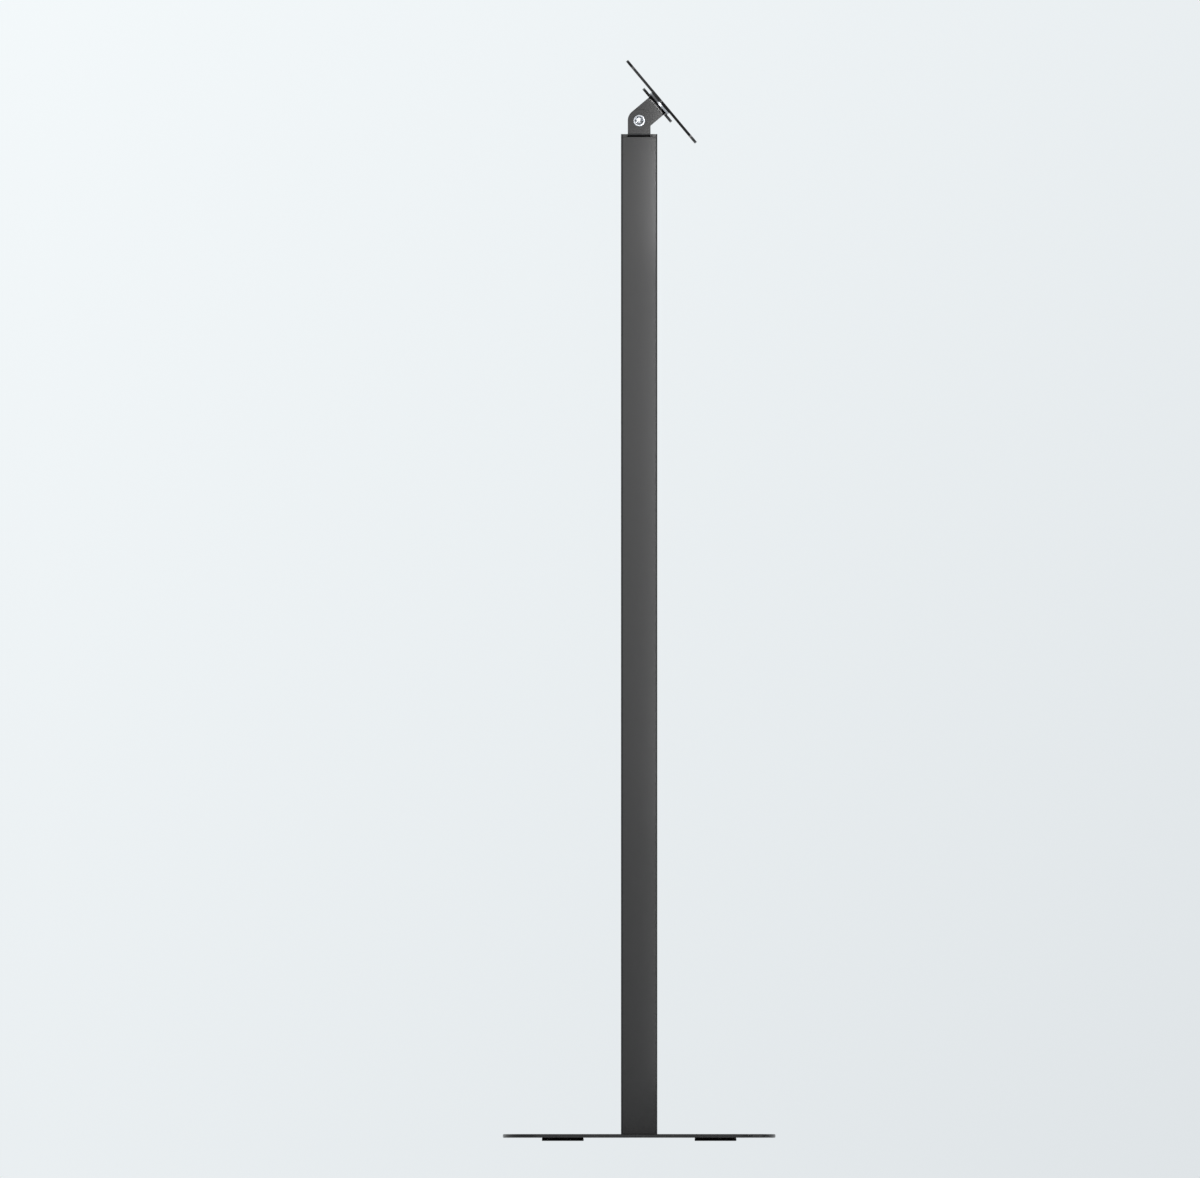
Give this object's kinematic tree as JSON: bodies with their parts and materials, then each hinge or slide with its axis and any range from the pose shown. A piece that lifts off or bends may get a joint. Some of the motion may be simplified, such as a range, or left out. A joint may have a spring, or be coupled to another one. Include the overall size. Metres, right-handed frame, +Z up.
{
  "type": "tv floor stand",
  "caption": "Floor stand for a small screen: square column on a flat base plate, with a tilting and turning cross plate at its head.",
  "frame": {"origin": "on the floor, under the middle of the base plate", "axes": "+Z up along the column, -Y towards the front, where the screen faces, X across the stand and along the tilt axis"},
  "size_m": [0.3, 0.3, 1.1892],
  "materials": {
    "powder_coat": "satin black powder coat, fine texture",
    "foot_rubber": "matt black rubber",
    "plain_steel": "bare and spring steel",
    "black_screws": "black oxide screws, satin",
    "zinc": "bright zinc plate",
    "slide_plastic": "natural nylon"
  },
  "bodies": {
    "stand": {"base_plate": "powder_coat", "column_tube": "powder_coat", "hinge_base": "powder_coat", "foot_front_left": "foot_rubber", "foot_front_right": "foot_rubber", "foot_rear_left": "foot_rubber", "foot_rear_right": "foot_rubber", "column_foot_block": "plain_steel", "column_head_block": "plain_steel", "tilt_disc_springs": "plain_steel", "base_screws": "black_screws", "cap_screws": "black_screws", "tilt_screw": "zinc", "tilt_washer": "zinc", "tilt_nut": "zinc", "tilt_friction_washers": "slide_plastic", "tilt_nut_insert": "slide_plastic"},
    "tilt_head": {"tilt_bracket": "powder_coat", "tilt_sleeve": "zinc"},
    "screen_mount": {"screen_plate": "powder_coat", "swivel_spacer": "zinc", "swivel_screw": "black_screws", "swivel_slide_washer": "slide_plastic", "swivel_washer": "zinc", "swivel_disc_springs": "plain_steel", "swivel_nut": "zinc", "swivel_nut_insert": "slide_plastic"}
  },
  "joints": [
    {"name": "tilt", "type": "hinge", "parent": "stand", "child": "tilt_head", "pos_m": [0, 0, 1.1225], "axis": [-1, 0, 0], "range_deg": [-40, 50]},
    {"name": "swivel", "type": "hinge", "parent": "tilt_head", "child": "screen_mount", "pos_m": [0, -0.02566, 1.14403], "axis": [0, -0.766, 0.6428], "continuous": true}
  ]
}
